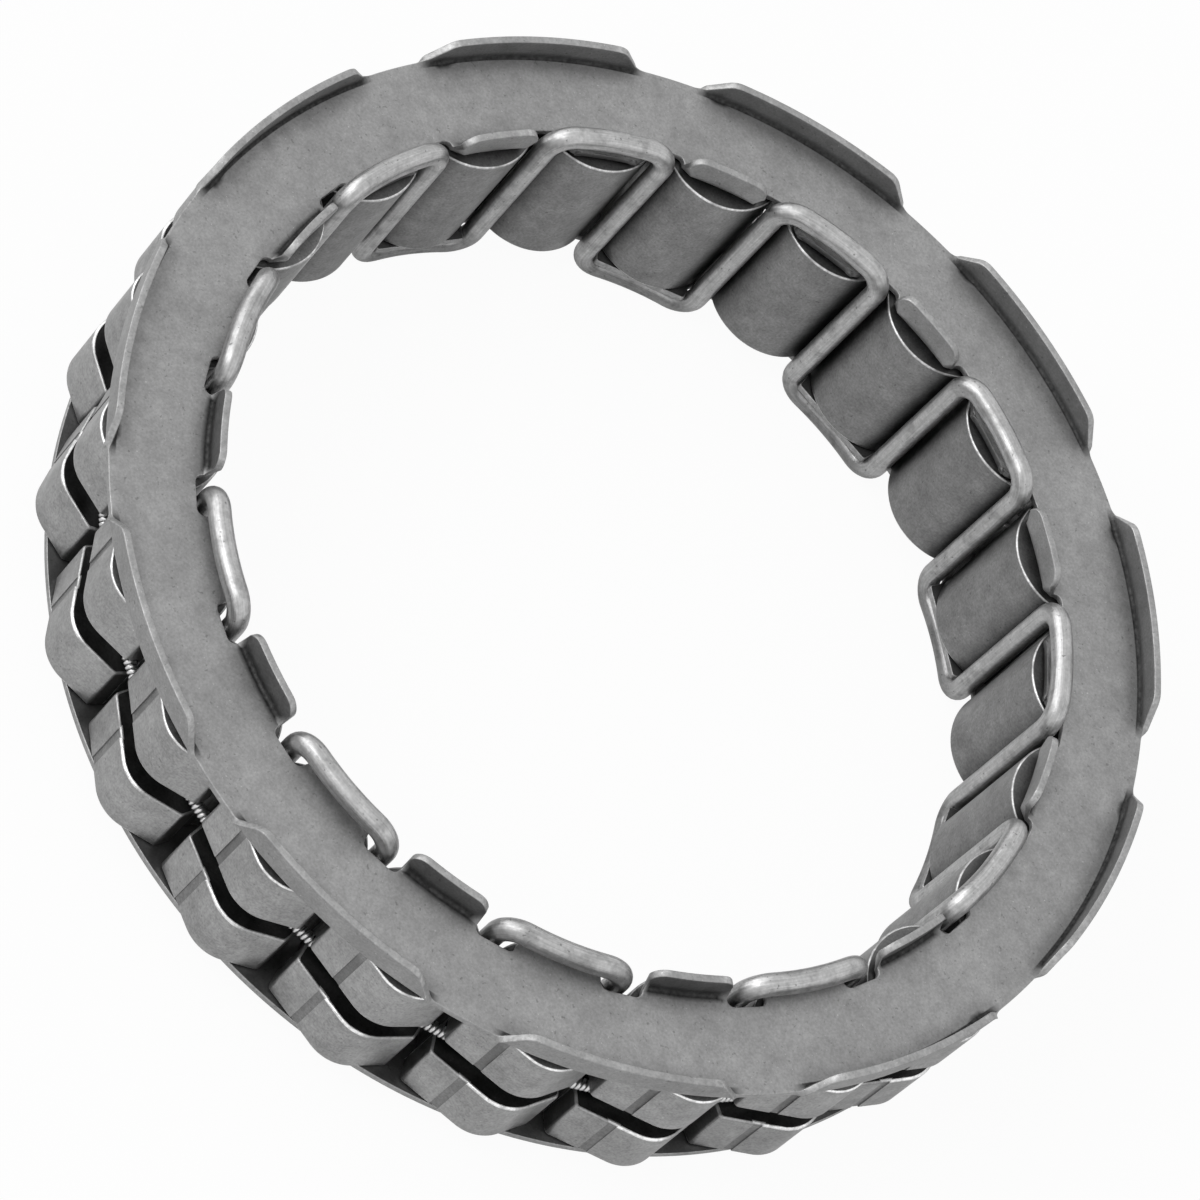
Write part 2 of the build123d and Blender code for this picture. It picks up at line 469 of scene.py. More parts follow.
def bar_tree() -> Tree:
    """Make the tree that draws a round bar along a path of edges, with closed ends.

    Returns:
        The tree.
    """
    build = GeometryTree("round_bar", {"Radius": "Float", "Sides": "Int"})
    radius, sides = build.sizes
    path = build.out("GeometryNodeMeshToCurve", {0: build.inlet["Geometry"]})
    run = build.add("GeometryNodeSplineParameter").outputs["Length"]
    around = build.circle(sides, radius)
    place = build.add("ShaderNodeSeparateXYZ", {0: build.out("GeometryNodeInputPosition")})
    for name, part in zip(("across", "aside"), place.outputs):
        around = build.keep(around, name, part)
    return build.close(build.out("GeometryNodeCurveToMesh", {
        "Curve": build.keep(path, "run", run), "Profile Curve": around, "Fill Caps": True}))


def coil_tree() -> Tree:
    """Make the tree that winds a round wire into close coils along a level closed path.

    Returns:
        The tree.
    """
    build = GeometryTree("close_coils", {
        "Turns": "Int", "Steps per turn": "Int", "Coil radius": "Float", "Wire radius": "Float",
        "Wire sides": "Int"})
    turns, steps, coil_radius, wire_radius, sides = build.sizes
    path = build.out("GeometryNodeMeshToCurve", {0: build.inlet["Geometry"]})
    total = build.times(turns, steps)
    index = build.out("GeometryNodeInputIndex")
    at = build.add("GeometryNodeSampleCurve", {
        "Curves": path, "Factor": build.calc("DIVIDE", index, total)}, mode="FACTOR").outputs
    angle = build.times(build.calc("DIVIDE", index, steps), 2 * math.pi)
    outward = build.vector("CROSS_PRODUCT", {0: at["Tangent"], 1: (0.0, 0.0, 1.0)})
    sideways = build.vector("SCALE", {
        0: outward, "Scale": build.times(build.calc("COSINE", angle), coil_radius)})
    upward = build.out("ShaderNodeCombineXYZ", {
        "Z": build.times(build.calc("SINE", angle), coil_radius)})
    offset = build.vector("ADD", {0: sideways, 1: upward})
    wound = build.out("GeometryNodeSetPosition", {
        "Geometry": build.circle(total, 1.0),
        "Position": build.vector("ADD", {0: at["Position"], 1: offset})})
    return build.close(build.out("GeometryNodeCurveToMesh", {
        "Curve": wound, "Profile Curve": build.circle(sides, wire_radius)}))


def grow(made: Object, tree: Tree, sizes: dict[str, Any]) -> None:
    """Run a geometry tree on an object, keep the result and turn its faces outwards.

    Args:
        made: The object, whose mesh is what the tree starts from.
        tree: The geometry tree.
        sizes: A value for each named input of the tree.
    """
    step = made.modifiers.new(tree.name, "NODES")
    step.node_group = tree
    for socket in tree.interface.items_tree:
        if socket.in_out == "INPUT" and socket.name in sizes:
            step[socket.identifier] = sizes[socket.name]
    made.update_tag()
    keep_evaluated(made)
    work = bmesh.new()
    work.from_mesh(made.data)
    bmesh.ops.recalc_face_normals(work, faces=work.faces)
    work.to_mesh(made.data)
    work.free()


@dataclass(frozen=True)
class Blots:
    """A noise: its blots, in metres, and the span of it that counts.

    The detail is octaves of finer noise, the shift keeps two noises from matching, and the
    length is how much longer the blots are along their course.
    """

    size: float
    detail: float = 3.0
    shift: float = 0.0
    low: float = 0.3
    high: float = 0.7
    length: float = 1.0
    course: Course = Course.AXIS


class MaterialBuilder(NodeBuilder):
    """Builds the nodes of one material around a single surface shader."""

    def __init__(self, name: str) -> None:
        """Start a material that reads the object's own coordinates.

        Args:
            name: Name of the material.
        """
        self.material = bpy.data.materials.new(name)
        self.material.use_nodes = True
        super().__init__(self.material.node_tree)
        self.shader = self.tree.nodes["Principled BSDF"]
        self.place = self.add("ShaderNodeTexCoord").outputs["Object"]
        self.noises: dict[Blots, Socket] = {}

    def noise(self, blots: Blots) -> Socket:
        """Add a noise, or give the one that is there already.

        Args:
            blots: What the noise looks like.

        Returns:
            The noise, from 0 to 1.
        """
        if blots not in self.noises:
            size, shift = blots.size, blots.shift
            place = self.out("ShaderNodeMapping", {
                "Vector": self.along_wire() if blots.course is Course.WIRE else self.place,
                "Location": (shift, -shift, shift / 2),
                "Scale": (1 / size, 1 / size, 1 / (size * blots.length))})
            self.noises[blots] = self.out("ShaderNodeTexNoise", {
                "Vector": place, "Scale": 1.0, "Detail": blots.detail})
        return self.noises[blots]

    def span(self, value: Any, low: float, high: float, to_low: float, to_high: float) -> Socket:
        """Map a value from one span to another, cut off at its ends.

        Args:
            value: The value.
            low: Start of the span that it comes from.
            high: End of that span.
            to_low: What the start becomes.
            to_high: What the end becomes.

        Returns:
            The mapped value.
        """
        return self.out("ShaderNodeMapRange", {
            "Value": value, "From Min": low, "From Max": high,
            "To Min": to_low, "To Max": to_high}, clamp=True)

    def drift(self, blots: Blots, low: float, high: float) -> Socket:
        """Let a noise lead a value from one end of a span to the other."""
        return self.span(self.noise(blots), blots.low, blots.high, low, high)

    def blend(self, share: Any, first: Any, second: Any) -> Socket:
        """Mix two numbers by a share from 0 to 1."""
        return self.out("ShaderNodeMix", {"Factor": share, "A": first, "B": second},
                        data_type="FLOAT")

    def attribute(self, name: str) -> Socket:
        """Read a number that the mesh carries."""
        return self.add("ShaderNodeAttribute", attribute_name=name).outputs["Fac"]

    def along_wire(self) -> Socket:
        """Coordinates that run along a bent wire, the third one along its length."""
        names = {"X": "across", "Y": "aside", "Z": "run"}
        return self.out("ShaderNodeCombineXYZ", {k: self.attribute(v) for k, v in names.items()})


# ---------------------------------------------------------------- finishes


@dataclass(frozen=True)
class SteelFinish:
    """A bare steel surface with mottling, scratches and specks, worn edges with a painted
    highlight, painted glints and painted shade.
    """

    name: str
    tone: float
    roughness: float
    scratch: Blots = Blots(0.07 * MM, 2.0, 5.3, length=40.0)
    scratch_depth: float = 0.0
    cloud: Blots = Blots(5.0 * MM, 2.0)
    cloud_depth: float = 0.08
    mottle: Blots = Blots(0.9 * MM, shift=3.1)
    mottle_depth: float = 0.08
    grain: Blots = Blots(0.22 * MM, shift=7.7)
    grain_depth: float = 0.12
    grain_bump: float = 0.25
    bump_height: float = 0.03 * MM
    speck: Blots = Blots(0.28 * MM, 1.0, 13.0, 0.70, 0.76)
    speck_depth: float = 0.35
    # Painted glints: bright specks added to the colour.
    glint: Blots = Blots(0.17 * MM, 1.0, 17.0, 0.745, 0.775)
    glint_gain: float = 0.0
    # Band at bends: bend marks with painted shade in the crease and on the bent tab faces.
    band: Blots = Blots(0.3 * MM, shift=21.0)
    band_least: float = 0.88
    band_depth: float = 0.0
    patch: Blots = Blots(1.1 * MM, 4.0, 31.0)
    patch_swing: float = 0.15
    worn_span: tuple[float, float] = (0.52, 0.64)
    worn_gain: float = 1.0
    # Eased edges brightened by wear and a painted highlight.
    edge: Blots = Blots(1.3 * MM, 3.0, 41.0, 0.36, 0.58)
    edge_least: float = 0.3
    edge_gain: float = 1.0
    chip: Blots = Blots(0.3 * MM, 3.0, 47.0, 0.35, 0.65)
    chip_depth: float = 0.15
    # Painted light and shade by height: front loops and the darker rear loops of the wire.
    front_light_gain: float = 1.0
    front_heights: tuple[float, float] = (14.6 * MM, 15.4 * MM)
    rear_shade_gain: float = 1.0
    rear_heights: tuple[float, float] = (0.9 * MM, 2.4 * MM)

    def marked(self, make: MaterialBuilder) -> Socket:
        """Lay clouds, mottling, grain, scratches and specks over the plain tone.

        Args:
            make: Builder of the material.

        Returns:
            The marked tone.
        """
        layers = [(self.cloud, self.cloud_depth), (self.mottle, self.mottle_depth),
                  (self.grain, self.grain_depth), (self.scratch, self.scratch_depth)]
        specks = make.drift(self.speck, 0.0, 1.0)
        return make.times(
            self.tone,
            *(make.drift(blots, 1 - depth, 1 + depth) for blots, depth in layers if depth > 0),
            make.span(specks, 0, 1, 1.0, 1 - self.speck_depth))

    def worn(self, make: MaterialBuilder, tone: Socket) -> Socket:
        """Add what only some finishes have: painted glints, bend marks with painted shade, wear,
        painted light by height.

        Args:
            make: Builder of the material.
            tone: The tone so far.

        Returns:
            The tone with all that the finish asks for.
        """
        # Painted glints.
        if self.glint_gain > 0:
            tone = make.times(tone, make.drift(self.glint, 1.0, 1 + self.glint_gain))
        # Bend marks with painted shade, darkening the bends and bent tabs.
        if self.band_depth > 0:
            band = make.times(make.attribute("bend"), make.drift(self.band, self.band_least, 1.0))
            tone = make.times(tone, make.span(band, 0, 1, 1.0, 1 - self.band_depth))
        if self.worn_gain != 1:
            worn = make.span(make.noise(self.patch), *self.worn_span, 0.0, 1.0)
            tone = make.blend(worn, tone, make.times(tone, self.worn_gain))
        # Painted light and shade by height.
        if self.front_light_gain != 1:
            height = make.add("ShaderNodeSeparateXYZ", {0: make.place}).outputs[2]
            tone = make.times(tone, make.span(height, *self.front_heights, 1.0, self.front_light_gain),
                              make.span(height, *self.rear_heights, self.rear_shade_gain, 1.0))
        return tone

    def build(self) -> Material:
        """Make the material.

        Returns:
            A node material on object coordinates.
        """
        make = MaterialBuilder(self.name)
        # Tone darkened by painted shade that the mesh carries on its faces and on the inner cams'
        # points.
        tone = make.times(self.worn(make, self.marked(make)), *(
            make.calc("SUBTRACT", 1.0, make.attribute(dark)) for dark in ("painted_shade", "shade")))
        # Edges brightened by wear and a painted highlight.
        edge = make.times(make.attribute("edge"), make.drift(self.edge, self.edge_least, 1.0))
        chips = make.drift(self.chip, 1 - self.chip_depth, 1 + self.chip_depth)
        height = make.blend(make.drift(self.speck, 0.0, 1.0), make.noise(self.grain), 0.0)
        if self.scratch.course is Course.WIRE:
            height = make.calc("ADD", height, make.noise(self.scratch))
        rough, swing = self.roughness, self.patch_swing
        make.put(make.shader, {
            "Base Color": make.blend(edge, tone, make.times(tone, self.edge_gain, chips)),
            "Roughness": make.drift(self.patch, rough * (1 - swing), rough * (1 + swing)),
            "Metallic": 1.0,
            "Normal": make.out("ShaderNodeBump", {
                "Strength": self.grain_bump, "Distance": self.bump_height, "Height": height})})
        return make.material


# Plates: bend marks with painted shade, painted glints, edges brightened by wear and a painted
# highlight.
PLATE_FINISH = SteelFinish(
    "blasted_plate_steel", tone=0.315, roughness=0.55, band_depth=0.93, cloud=Blots(3.5 * MM, 2.0),
    mottle_depth=0.07, grain=Blots(0.17 * MM, shift=7.7), grain_bump=0.12, speck_depth=0.3,
    glint_gain=0.5, edge_gain=1.3)
# Sprags: painted glints, and eased edges brightened by wear and a strong painted highlight.
SPRAG_FINISH = SteelFinish(
    "ground_sprag_steel", tone=0.345, roughness=0.42, scratch_depth=0.04,
    cloud=Blots(3.0 * MM, 2.0), cloud_depth=0.12, mottle_depth=0.10,
    grain=Blots(0.18 * MM, shift=7.7), grain_depth=0.18, grain_bump=0.08,
    speck=Blots(0.28 * MM, 1.0, 13.0, 0.71, 0.77), glint_gain=0.5, edge_gain=2.8)
# Wire: painted light and shade by height, darkest on the rear loops.
WIRE_FINISH = SteelFinish(
    "drawn_wire_steel", tone=0.475, roughness=0.40, scratch_depth=0.15,
    scratch=Blots(0.11 * MM, 2.0, 5.3, length=26.0, course=Course.WIRE), grain_bump=0.35,
    cloud_depth=0.06, mottle_depth=0.09, worn_gain=0.78, speck_depth=0.45, front_light_gain=0.92,
    rear_shade_gain=0.57)
SPRING_FINISH = SteelFinish(
    "bright_spring_steel", tone=0.64, roughness=0.30, speck_depth=0.1, grain_depth=0.05,
    mottle_depth=0.05)


# ---------------------------------------------------------------- pieces of the cage


@dataclass
class CagePiece:
    """A piece that rides on the cage, grown from a plain mesh by a geometry tree."""

    common: ClutchSizes = ClutchSizes()
    name: str = ""
    node: str = ""
    slot: str = ""

    def start(self) -> Mesh:
        """The mesh that the piece is grown from."""
        raise NotImplementedError

    def growth(self) -> dict[str, Any]:
        """A value for each named input of the geometry tree, but for the material."""
        raise NotImplementedError

    def shade(self, made: Object) -> None:
        """Give the piece its smooth shading."""
        even_shading(made)

    def build(self, tree: Tree, finish: Material) -> Object:
        """Build the piece and put it on the cage.

        Args:
            tree: Geometry tree that grows it.
            finish: Its material.

        Returns:
            The finished piece.
        """
        made = object_from(self.name, self.start())
        grow(made, tree, {**self.growth(), "Material": finish})
        self.shade(made)
        fit_out(made, CAGE_BODY, self.node)
        return made


# ---------------------------------------------------------------- side plates


@dataclass
class SidePlate(CagePiece):
    """A ring of sheet metal, made of equal sectors two sprags wide.

    A sector runs from three half pitches before a sprag with a bent tab in front of it to
    half a pitch after it, so a flat tab lies in its first half.
    """

    slot: str = "plate_steel"
    side: PlateSide = PlateSide.FRONT
    rim_radius: float = 37.0 * MM
    opening_radius: float = 31.15 * MM
    edge_round: float = 0.07 * MM
    round_share: float = 0.3
    grid_margin: float = 0.07 * MM
    inner_painted_shade: float = 0.0
    plain_wear_and_highlight: float = 0.5
    corner_turn: float = math.radians(4)
    rim_step: float = math.radians(0.9)
    inner_step: float = math.radians(1.2)
    weld: float = 0.002 * MM

    @property
    def half(self) -> float:
        """Half of the angle between two sprags."""
        return self.common.pitch / 2

    def rim_chain(self) -> list[Point]:
        """Outer edge of the flat sector, from its first side to its last."""
        return arc_points(self.rim_radius, -3 * self.half, self.half, self.rim_step)

    def inner_chain(self) -> list[Point]:
        """Inner edge of the flat sector, from its last side to its first."""
        raise NotImplementedError

    def grid_points(self) -> np.ndarray:
        """Points inside the flat sector that let the sheet bend smoothly."""
        return np.empty((0, 2))

    def bent(self, place: Point, height: float) -> Vector:
        """Put a point of the flat sheet, at a height above its inner face, in its real place."""
        return self.levelled(math.hypot(*place), math.atan2(place[1], place[0]), height)

    def levelled(self, radius: float, angle: float, rise: float) -> Vector:
        """Turn a place on the plate to its sprag and lift it to the plate's level.

        Args:
            radius: Radius of the place.
            angle: Its angle in the sector.
            rise: Its height above the face that lies towards the sprags.

        Returns:
            The place in the frame of the clutch.
        """
        sizes = self.common
        if self.side is PlateSide.FRONT:
            return Vector((*polar(radius, angle), sizes.front_outer_face - sizes.sheet + rise))
        return Vector((*polar(radius, angle + 2 * self.half),
                       sizes.rear_outer_face + sizes.sheet - rise))

    def band(self, place: Point) -> float:
        """How strongly bend marks and painted shade show at a point, from 0 to 1."""
        return 0.0

    def corner_wear_and_highlight(self, chain: list[Point]) -> list[float]:
        """Say how bright an edge is, from wear and a painted highlight: plainly, and fully where
        it turns outwards.

        Args:
            chain: Points of the edge.

        Returns:
            A number from 0 to 1 for each run between two points.
        """
        points = [Vector(p) for p in chain]
        runs = [b - a for a, b in zip(points, points[1:])]
        turns = [0.0] + [a.angle_signed(b) for a, b in zip(runs, runs[1:])] + [0.0]
        return [1.0 if min(pair) < -self.corner_turn else self.plain_wear_and_highlight
                for pair in zip(turns, turns[1:])]

    def edge_painted_shade(self, chain: list[Point]) -> list[float]:
        """How much painted shade each run of an edge gets."""
        return [0.0] * (len(chain) - 1)

    def triangles(self, outline: list[Point]) -> tuple[list[Point], list, dict[int, int]]:
        """Divide the flat sector into triangles.

        Args:
            outline: Its closed outline.

        Returns:
            The corners, the triangles, and the corner for each point of the outline.
        """
        grid = self.grid_points()
        grid = grid[inside_outline(grid, np.array(outline), self.grid_margin)]
        flat = [Vector(p) / MM for p in [*outline, *grid]]
        inside_only, nearness = 1, 1e-6
        made = delaunay_2d_cdt(flat, [], [list(range(len(outline)))], inside_only, nearness)
        corner_of = {first: new for new, olds in enumerate(made[3]) for first in olds}
        return [(spot.x * MM, spot.y * MM) for spot in made[0]], made[2], corner_of

    def growth(self) -> dict[str, Any]:
        """Sizes of the ring of sectors."""
        return {"Count": self.common.sprag_count // 2, "Step": 2 * self.common.pitch,
                "Weld": self.weld}

    def start(self) -> Mesh:
        """One sector of the plate, with its edges rounded and, on its faces and points, edge wear
        with a painted highlight, painted shade and the band at its bends.

        Returns:
            The mesh.
        """
        deep, thick = self.edge_round, self.common.sheet
        part = self.round_share * deep
        layers = [(part, part), (0.0, deep), (0.0, thick - deep), (part, thick - part)]
        chains = (self.rim_chain(), self.inner_chain())
        edges = [inset_chain(chain, deep) for chain in chains]
        corners, faces, corner_of = self.triangles(edges[0] + edges[1])
        count = len(corners)
        places = [self.bent(corner, level) for level in (0.0, thick) for corner in corners]
        bands = [0.0] * count + [self.band(corner) for corner in corners]
        polygons = [face[::-1] for face in faces] + [[count + v for v in face] for face in faces]
        # Edge brightness: wear with a painted highlight.
        worn = [0.0] * len(polygons)
        # Painted shade on the face towards the sprags.
        dark = [self.inner_painted_shade] * len(faces) + [0.0] * len(faces)
        start = 0
        for chain, edge in zip(chains, edges):
            size = len(edge)
            rows = [[corner_of[start + k] for k in range(size)]]
            for inset, level in layers:
                rows.append(list(range(len(places), len(places) + size)))
                places += [self.bent(p, level) for p in inset_chain(chain, inset)]
            rows.append([count + v for v in rows[0]])
            for low, high in zip(rows, rows[1:]):
                polygons += [[low[k], low[k + 1], high[k + 1], high[k]] for k in range(size - 1)]
                worn += self.corner_wear_and_highlight(edge)
                dark += self.edge_painted_shade(edge)
            start += size
        if self.side is PlateSide.REAR:
            polygons = [face[::-1] for face in polygons]
        mesh = mesh_from(f"{self.name}_sector", places, polygons)
        carry(mesh, "edge", "FACE", worn)
        carry(mesh, "painted_shade", "FACE", dark)
        carry(mesh, "bend", "POINT", bands + [0.0] * (len(places) - len(bands)))
        return mesh


@dataclass
class FrontPlate(SidePlate):
    """The front plate, with tabs bent up on its rim and at its inner edge."""

    name: str = "formed_front_plate"
    node: str = "front_plate"
    bend_radius: float = 0.55 * MM
    rim_tab_face: float = 37.2625 * MM
    tab_height: float = 1.9 * MM
    rim_tab_root: float = 8.2 * MM
    rim_tab_tip: float = 6.45 * MM
    rim_tab_tip_round: float = 1.3 * MM
    rim_tab_root_round: float = 1.2 * MM
    rim_corner_steps: int = 6
    rim_bend_start: float = 8.6 * MM
    rim_bend_full: float = 7.6 * MM
    inner_tab_face: float = 29.8 * MM
    inner_tab_tip: float = 2.33 * MM
    inner_tab_cut: float = 0.71 * MM
    inner_tab_round: float = 0.95 * MM
    flat_tab_edge: float = 29.7 * MM
    notch_half: float = 1.425 * MM
    notch_round: float = 0.5 * MM
    arc_clearance: float = math.radians(1.0)
    bend_rows: int = 7
    wide_step: float = 0.7 * MM
    fine_step: float = 0.14 * MM
    inner_grid_step: float = 0.6 * MM
    grid_overlap: float = 0.5 * MM
    # Band of bend marks and painted shade: leading in over the flat, in the crease and up the tab
    # faces.
    band_lead: float = 1.3 * MM
    band_overlap: float = 0.3 * MM
    lead_mark_and_shade: float = 0.27
    band_reach: float = 1.5
    rim_tab_mark_and_shade: float = 0.2
    inner_tab_mark_and_shade: float = 0.45
    # Painted shade on the flat tab's edge under the wire.
    flat_tab_painted_shade: float = 0.6

    @property
    def arc(self) -> float:
        """Length of a bend along the middle of the sheet."""
        return self.bend_radius * math.pi / 2

    @property
    def tab_reach(self) -> float:
        """Unrolled length of a bent tab from the start of its bend to its tip."""
        return self.arc + (self.tab_height - self.bend_radius + self.common.sheet / 2)

    @property
    def rim_bend(self) -> float:
        """Radius at which the sheet starts to bend into a rim tab."""
        return self.rim_tab_face - self.common.sheet / 2 - self.bend_radius

    @property
    def inner_bend(self) -> float:
        """Radius at which the sheet starts to bend into an inner tab."""
        return self.inner_tab_face + self.common.sheet / 2 + self.bend_radius

    def rim_chain(self) -> list[Point]:
        """Outer edge of the unrolled sector, with one rim tab.

        Returns:
            Its points from the sector's first side to its last.
        """
        rim, top = self.rim_radius, self.rim_bend + self.tab_reach
        middle, clear, step = -self.half, self.arc_clearance, self.rim_step
        root = math.asin(self.rim_tab_root / rim)
        tip = math.asin(self.rim_tab_tip / (self.rim_tab_face - self.common.sheet / 2))
        return rounded_chain([
            *sharp(arc_points(rim, middle - 2 * self.half, middle - root - clear, step)),
            (polar(rim, middle - root), self.rim_tab_root_round),
            (polar(top, middle - tip), self.rim_tab_tip_round),
            *sharp(arc_points(top, middle - tip + clear, middle + tip - clear, step)),
            (polar(top, middle + tip), self.rim_tab_tip_round),
            (polar(rim, middle + root), self.rim_tab_root_round),
            *sharp(arc_points(rim, middle + root + clear, middle + 2 * self.half, step))],
            self.rim_corner_steps)

    def notch_corner(self, notch: float, side: int) -> Corner:
        """Bottom corner of a notch at an angle, on its lower (-1) or higher (+1) side."""
        (cos, sin), x, y = polar(1.0, notch), self.opening_radius, side * self.notch_half
        return (x * cos - y * sin, x * sin + y * cos), self.notch_round

    def wall_angle(self, radius: float) -> float:
        """Angle from a tab's middle to the wall of the notch beside it."""
        return self.half - math.asin(self.notch_half / radius)

    def inner_chain(self) -> list[Point]:
        """Inner edge of the unrolled sector: a bent tab, a notch and a flat tab.

        Returns:
            Its points from the sector's last side to its first.
        """
        step, clear, opening, half = (
            self.inner_step, self.arc_clearance, self.opening_radius, self.half)
        bend, flat, low = self.inner_bend, self.flat_tab_edge, self.inner_bend - self.tab_reach
        middle = self.inner_tab_face + self.common.sheet / 2
        wall, root, edge = (self.wall_angle(r) for r in (middle, bend, flat))
        tip, cut = math.asin(self.inner_tab_tip / middle), low + self.inner_tab_cut
        corner, turn = self.inner_tab_round, -2 * half
        return rounded_chain([
            (polar(opening, half), 0.0), self.notch_corner(half, -1), (polar(bend, root), 0.0),
            (polar(cut, wall), corner), (polar(low, tip), corner),
            *sharp(arc_points(low, tip - clear, clear - tip, step)),
            (polar(low, -tip), corner), (polar(cut, -wall), corner), (polar(bend, -root), 0.0),
            self.notch_corner(-half, 1), self.notch_corner(-half, -1),
            (polar(flat, turn + edge), corner),
            *sharp(arc_points(flat, turn + edge - clear, turn - edge + clear, step)),
            (polar(flat, turn - edge), corner),
            self.notch_corner(-3 * half, 1), (polar(opening, -3 * half), 0.0)])

    def edge_painted_shade(self, chain: list[Point]) -> list[float]:
        """Say how much painted shade an edge gets: that of the flat tab lies in the wire's shade.

        Args:
            chain: Points of the edge.

        Returns:
            A number from 0 to 1 for each run between two points.
        """
        reach = self.flat_tab_edge + self.common.sheet
        return [self.flat_tab_painted_shade * float(math.hypot(x, y) < reach and
                                           math.atan2(y, x) < -self.half)
                for x, y in chain[:-1]]

    def grid_points(self) -> np.ndarray:
        """Rows of points across the bends and up the bent tabs.

        Returns:
            The points, one per row.
        """
        rows = [-self.band_lead * share for share in (1, 0.6, 0.25)]
        rows += [self.arc * k / self.bend_rows for k in range(self.bend_rows + 1)]
        rows += [self.arc + (self.tab_reach - self.arc) * share for share in (0.2, 0.5, 0.8)]
        full = self.rim_bend_full
        middle = np.arange(-full, full, self.wide_step)
        ends = np.arange(full, self.rim_bend_start + self.grid_overlap, self.fine_step)
        places = []
        for row in rows:
            places += [polar(self.rim_bend + row, -self.half + across / self.rim_radius)
                       for across in [*(-ends[::-1]), *middle, *ends]]
            radius = self.inner_bend - row
            places += [polar(radius, across) for across in np.arange(
                -self.half, self.half, self.inner_grid_step / radius)]
        return np.array(places)

    def bend_share(self, radius: float, angle: float) -> tuple[float, float, int]:
        """How a point of the flat sector takes part in a bend.

        Args:
            radius: Unrolled radius of the point.
            angle: Angle of the point.

        Returns:
            Distance past the start of the bend, share of the full bend, and +1 at the
            rim or -1 at the inner edge.
        """
        if radius > self.rim_bend:
            across = abs(angle + self.half) * self.rim_radius
            ease = (self.rim_bend_start - across) / (self.rim_bend_start - self.rim_bend_full)
            return radius - self.rim_bend, smooth_step(ease), 1
        if radius < self.inner_bend:
            return self.inner_bend - radius, float(angle > -self.half), -1
        return 0.0, 0.0, 1

    def bent(self, place: Point, height: float) -> Vector:
        """Bend a point of the flat sector to its real place.

        Args:
            place: The point in the plane of the flat sheet.
            height: Its height above the face that lies towards the sprags.

        Returns:
            The place in the frame of the clutch.
        """
        radius, angle = math.hypot(*place), math.atan2(place[1], place[0])
        past, share, out = self.bend_share(radius, angle)
        if share <= 0 or past <= 0:
            return self.levelled(radius, angle, height)
        curve = share / self.bend_radius
        turn, straight = curve * min(past, self.arc), max(0.0, past - self.arc)
        middle = self.common.sheet / 2
        run = math.sin(turn) / curve + straight * math.cos(turn)
        run -= (height - middle) * math.sin(turn)
        rise = middle + (1 - math.cos(turn)) / curve + straight * math.sin(turn)
        rise += (height - middle) * math.cos(turn)
        start = self.rim_bend if out > 0 else self.inner_bend
        return self.levelled(start + out * run, angle, rise)

    def band(self, place: Point) -> float:
        """How strongly bend marks and painted shade show at a point.

        Args:
            place: The point in the plane of the flat sheet.

        Returns:
            A number from 0 to 1.
        """
        radius, angle = math.hypot(*place), math.atan2(place[1], place[0])
        across = abs(angle + self.half) * self.rim_radius
        rim_side = self.rim_bend_start + self.band_overlap - across
        inner_side = self.wall_angle(self.inner_bend) * self.inner_bend - abs(angle) * radius
        shares = []
        for past, side, face in (
                (radius - self.rim_bend, rim_side, self.rim_tab_mark_and_shade),
                (self.inner_bend - radius, inner_side + self.band_lead, self.inner_tab_mark_and_shade)):
            share = face + (1 - face) * smooth_step(self.band_reach - past / self.arc)
            if past < 0:
                share = self.lead_mark_and_shade * smooth_step(1 + past / self.band_lead)
            shares.append(share * smooth_step(side / self.band_lead))
        return max(shares)


@dataclass
class RearPlate(SidePlate):
    """The rear plate, flat, with a tab over each rear loop of the wire."""

    name: str = "flat_rear_plate"
    node: str = "rear_plate"
    side: PlateSide = PlateSide.REAR
    rim_radius: float = 36.4 * MM
    tab_end: float = 29.3 * MM
    tab_leg_gap: float = 0.8 * MM
    opening_radius: float = 31.0 * MM
    # Painted shade on the face towards the sprags, seen between them.
    inner_painted_shade: float = 0.65
    tip_round: float = 0.2 * MM
    root_round: float = 0.7 * MM
    root_clear_steps: float = 1.6

    def inner_chain(self) -> list[Point]:
        """Inner edge of the flat sector: a round opening and a straight-ended tab.

        Returns:
            Its points from the sector's last side to its first.
        """
        opening, half, step = self.opening_radius, self.half, self.inner_step
        root_angle = half - math.asin(self.tab_leg_gap / opening)
        tip = (self.tab_end, self.tab_end * math.tan(half) - self.tab_leg_gap / math.cos(half))
        side = [(polar(opening, root_angle), self.root_round), (tip, self.tip_round)]
        turn = Matrix.Rotation(-2 * half, 2)
        tab = [(tuple(turn @ Vector(p)), corner) for p, corner in
               side + [((x, -y), corner) for (x, y), corner in reversed(side)]]
        reach = root_angle + self.root_clear_steps * step
        before = arc_points(opening, half, -2 * half + reach, step)
        after = arc_points(opening, -2 * half - reach, -3 * half, step)
        return rounded_chain([*sharp(before), *tab, *sharp(after)])


# ---------------------------------------------------------------- retaining wire


